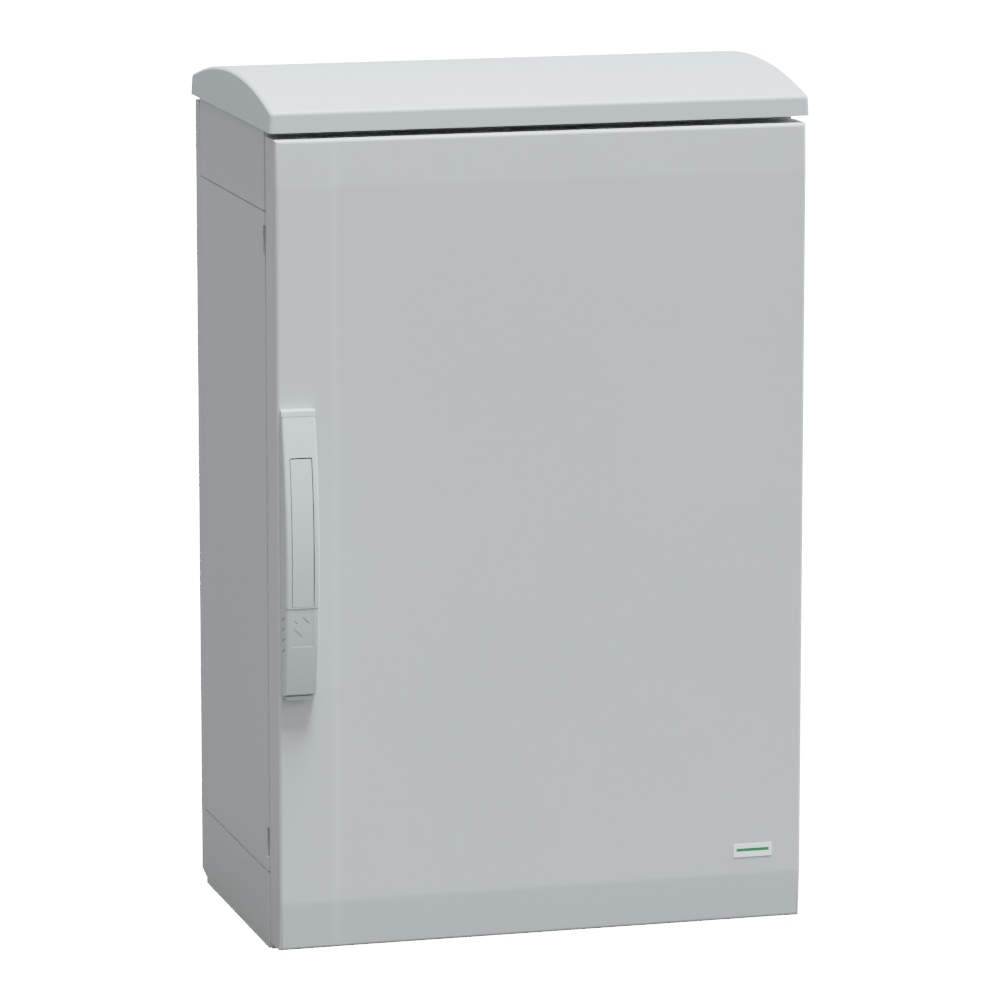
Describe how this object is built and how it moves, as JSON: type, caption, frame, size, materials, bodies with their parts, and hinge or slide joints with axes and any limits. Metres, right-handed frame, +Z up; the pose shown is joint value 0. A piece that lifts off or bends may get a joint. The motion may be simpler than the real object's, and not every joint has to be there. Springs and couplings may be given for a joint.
{
  "type": "outdoor distribution cabinet",
  "caption": "Free-standing moulded outdoor cabinet with an arched rain canopy and one flat door closed by a bow-shaped swing handle.",
  "frame": {"origin": "under the middle of the whole object, on the ground plane", "axes": "+Z up, the door faces -Y, +X to the right seen from the front"},
  "size_m": [0.5082, 0.3522, 0.7998],
  "materials": {
    "body_moulding": "glass-fibre polyester, light grey, fine mould texture",
    "canopy_moulding": "glass-fibre polyester, light grey, fine mould texture",
    "handle_moulding": "glass-filled polyamide, light grey, satin",
    "seal_rubber": "soft cellular rubber",
    "plate_film": "blank pale plate",
    "inside_moulding": "polyester moulding, light grey",
    "black_nylon": "glass-filled nylon",
    "die_cast_zinc": "die-cast zinc",
    "bright_steel": "stainless steel pin",
    "plated_steel": "zinc-plated steel"
  },
  "bodies": {
    "cabinet": {"base_module": "body_moulding", "side_panel_left": "body_moulding", "side_panel_right": "body_moulding", "roof_module": "body_moulding", "back_panel": "body_moulding", "rain_canopy": "canopy_moulding", "mounting_plate": "plated_steel", "gland_plate": "inside_moulding", "gland_gasket": "seal_rubber", "keeper_top": "plated_steel", "keeper_middle": "plated_steel", "keeper_bottom": "plated_steel", "canopy_screw_1": "plated_steel", "canopy_screw_2": "plated_steel", "canopy_screw_3": "plated_steel", "canopy_screw_4": "plated_steel", "plate_standoff_1": "inside_moulding", "plate_standoff_2": "inside_moulding", "plate_standoff_3": "inside_moulding", "plate_standoff_4": "inside_moulding", "plate_bolt_1": "plated_steel", "plate_bolt_2": "plated_steel", "plate_bolt_3": "plated_steel", "plate_bolt_4": "plated_steel", "gland_screw_1": "plated_steel", "gland_screw_2": "plated_steel", "gland_screw_3": "plated_steel", "gland_screw_4": "plated_steel", "hinge_bracket_lower": "plated_steel", "hinge_bracket_upper": "plated_steel", "hinge_pin_lower": "bright_steel", "hinge_pin_upper": "bright_steel"},
    "door": {"door_shell": "body_moulding", "door_gasket": "seal_rubber", "name_plate": "plate_film", "handle_base": "handle_moulding", "handle_screw_1": "plated_steel", "handle_screw_2": "plated_steel", "gear_case": "black_nylon", "rod_guide_upper_1": "black_nylon", "rod_guide_upper_2": "black_nylon", "rod_guide_lower_1": "black_nylon", "rod_guide_lower_2": "black_nylon", "hinge_leaf_lower": "plated_steel", "hinge_leaf_upper": "plated_steel"},
    "swivel": {"spindle": "plated_steel", "handle_cap": "handle_moulding", "pinion": "die_cast_zinc", "latch_cam": "plated_steel", "spindle_nut": "plated_steel", "pivot_pin": "bright_steel"},
    "lever": {"swing_lever": "handle_moulding", "lever_infill": "handle_moulding"},
    "lock_cover": {"lock_cover": "handle_moulding"},
    "lock_insert": {"lock_insert": "die_cast_zinc"},
    "lock_bolt": {"lock_bolt": "plated_steel"},
    "rod_upper": {"rod_upper": "plated_steel"},
    "rod_lower": {"rod_lower": "plated_steel"}
  },
  "joints": [
    {"name": "door_hinge", "type": "hinge", "parent": "cabinet", "child": "door", "pos_m": [0.246, -0.1054, 0.38], "axis": [0, 0, 1], "range_deg": [0, 120]},
    {"name": "handle_turn", "type": "hinge", "parent": "door", "child": "swivel", "pos_m": [-0.2322, -0.1514, 0.478], "axis": [0, -1, 0], "range_deg": [0, 90]},
    {"name": "handle_lift", "type": "hinge", "parent": "swivel", "child": "lever", "pos_m": [-0.2322, -0.1574, 0.5], "axis": [-1, 0, 0], "range_deg": [0, 20]},
    {"name": "lock_cover_slide", "type": "slide", "parent": "lever", "child": "lock_cover", "axis": [0, 0, -1], "range_m": [0, 0.036]},
    {"name": "lock_insert_turn", "type": "hinge", "parent": "lever", "child": "lock_insert", "pos_m": [-0.2322, -0.1614, 0.309], "axis": [0, 1, 0], "range_deg": [0, 90]},
    {"name": "lock_bolt_slide", "type": "slide", "parent": "lever", "child": "lock_bolt", "axis": [0, 0, -1], "range_m": [0, 0.0061]},
    {"name": "rod_upper_slide", "type": "slide", "parent": "door", "child": "rod_upper", "axis": [0, 0, -1], "range_m": [0, 0.0142]},
    {"name": "rod_lower_slide", "type": "slide", "parent": "door", "child": "rod_lower", "axis": [0, 0, 1], "range_m": [0, 0.0142]}
  ],
  "couplings": [
    {"joint": "rod_upper_slide", "follows": "handle_turn", "m_per_rad": 0.009},
    {"joint": "rod_lower_slide", "follows": "handle_turn", "m_per_rad": 0.009},
    {"joint": "lock_bolt_slide", "follows": "lock_insert_turn", "m_per_rad": 0.00382}
  ]
}
